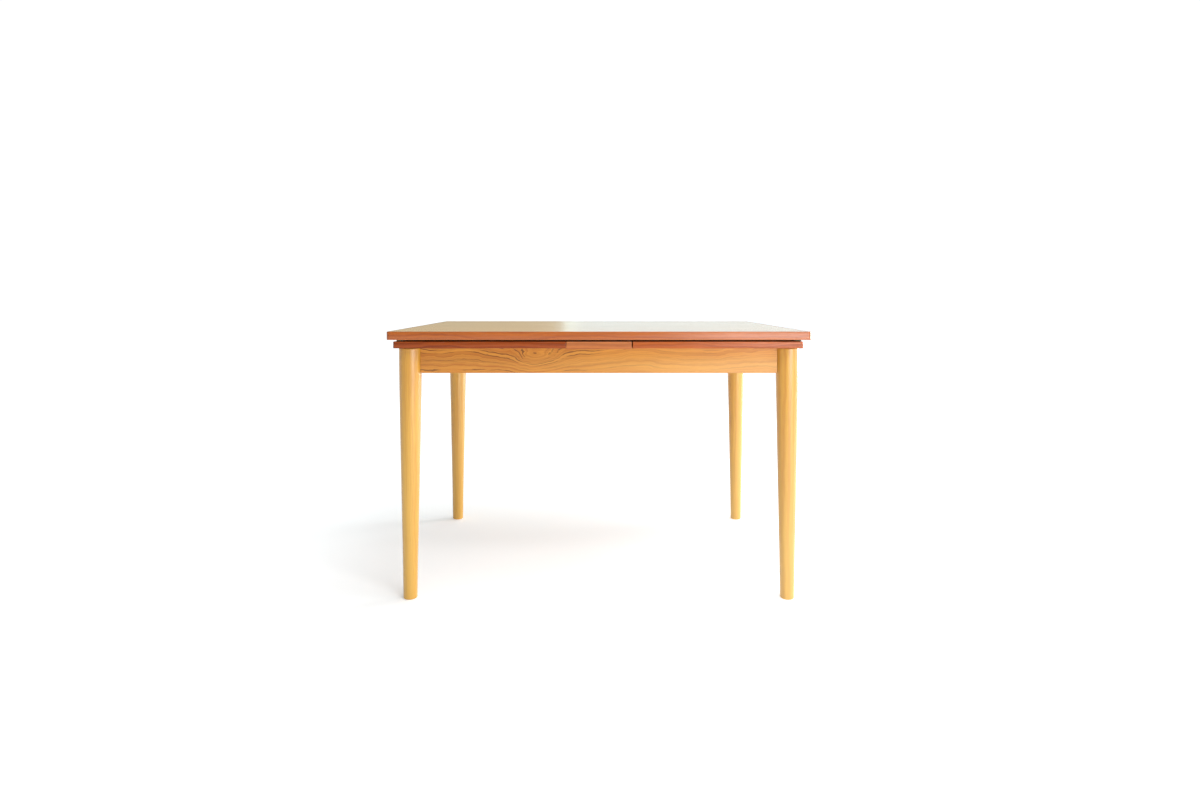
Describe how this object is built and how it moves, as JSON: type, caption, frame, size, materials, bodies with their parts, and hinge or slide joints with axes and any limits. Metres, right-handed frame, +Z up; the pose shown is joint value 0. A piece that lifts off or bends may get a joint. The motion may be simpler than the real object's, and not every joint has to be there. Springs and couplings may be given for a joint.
{
  "type": "draw-leaf dining table",
  "caption": "Rectangular teak dining table on round tapered legs, with two leaves stored under a loose top that draw out at the ends.",
  "frame": {"origin": "on the floor, under the middle of the closed table", "axes": "+X along the table's length towards the right-hand leaf, -Y towards the pictured long side, +Z up"},
  "size_m": [1.146, 0.8, 0.735],
  "materials": {
    "top_teak": "satin oiled teak veneer, warm light brown",
    "lipping_teak": "satin solid teak edge, redder than the face",
    "leaf_teak": "satin teak veneer",
    "leaf_lipping_teak": "satin solid teak edge",
    "board_teak": "duller satin teak",
    "apron_teak": "satin teak veneer with figured grain",
    "leg_wood": "satin honey-coloured beech",
    "plain_hardwood": "unfinished pale hardwood",
    "steel": "zinc-plated steel",
    "felt": "dark green felt"
  },
  "bodies": {
    "base": {"leg_front_left": "leg_wood", "leg_front_right": "leg_wood", "leg_rear_left": "leg_wood", "leg_rear_right": "leg_wood", "apron_front": "apron_teak", "apron_rear": "apron_teak", "apron_left_end": "apron_teak", "apron_right_end": "apron_teak", "bearer_left": "plain_hardwood", "board_screw_left_1": "steel", "board_screw_left_2": "steel", "bearer_right": "plain_hardwood", "board_screw_right_1": "steel", "board_screw_right_2": "steel", "centre_board": "board_teak", "corner_block_front_left": "plain_hardwood", "leg_bolt_front_left": "steel", "wing_nut_front_left": "steel", "corner_block_front_right": "plain_hardwood", "leg_bolt_front_right": "steel", "wing_nut_front_right": "steel", "corner_block_rear_left": "plain_hardwood", "leg_bolt_rear_left": "steel", "wing_nut_rear_left": "steel", "corner_block_rear_right": "plain_hardwood", "leg_bolt_rear_right": "steel", "wing_nut_rear_right": "steel"},
    "top": {"main_top": "top_teak", "main_top_lipping_front": "lipping_teak", "main_top_lipping_rear": "lipping_teak", "main_top_lipping_left": "lipping_teak", "main_top_lipping_right": "lipping_teak", "top_peg_front": "plain_hardwood", "top_peg_rear": "plain_hardwood", "top_felt_left": "felt", "top_felt_right": "felt"},
    "leaf_left": {"leaf_left": "leaf_teak", "leaf_left_lipping_front": "leaf_lipping_teak", "leaf_left_lipping_rear": "leaf_lipping_teak", "leaf_left_lipping_left": "leaf_lipping_teak", "runner_left_front": "plain_hardwood", "stop_pin_left_front": "plain_hardwood", "runner_screw_left_front_1": "steel", "runner_screw_left_front_2": "steel", "runner_left_rear": "plain_hardwood", "stop_pin_left_rear": "plain_hardwood", "runner_screw_left_rear_1": "steel", "runner_screw_left_rear_2": "steel"},
    "leaf_right": {"leaf_right": "leaf_teak", "leaf_right_lipping_front": "leaf_lipping_teak", "leaf_right_lipping_rear": "leaf_lipping_teak", "leaf_right_lipping_right": "leaf_lipping_teak", "runner_right_front": "plain_hardwood", "stop_pin_right_front": "plain_hardwood", "runner_screw_right_front_1": "steel", "runner_screw_right_front_2": "steel", "runner_right_rear": "plain_hardwood", "stop_pin_right_rear": "plain_hardwood", "runner_screw_right_rear_1": "steel", "runner_screw_right_rear_2": "steel"}
  },
  "joints": [
    {"name": "left_leaf_slide", "type": "slide", "parent": "base", "child": "leaf_left", "axis": [-1, 0, 0], "range_m": [0, 0.486]},
    {"name": "right_leaf_slide", "type": "slide", "parent": "base", "child": "leaf_right", "axis": [1, 0, 0], "range_m": [0, 0.484]},
    {"name": "top_lift", "type": "slide", "parent": "base", "child": "top", "axis": [0, 0, 1], "range_m": [0, 0.045]}
  ]
}
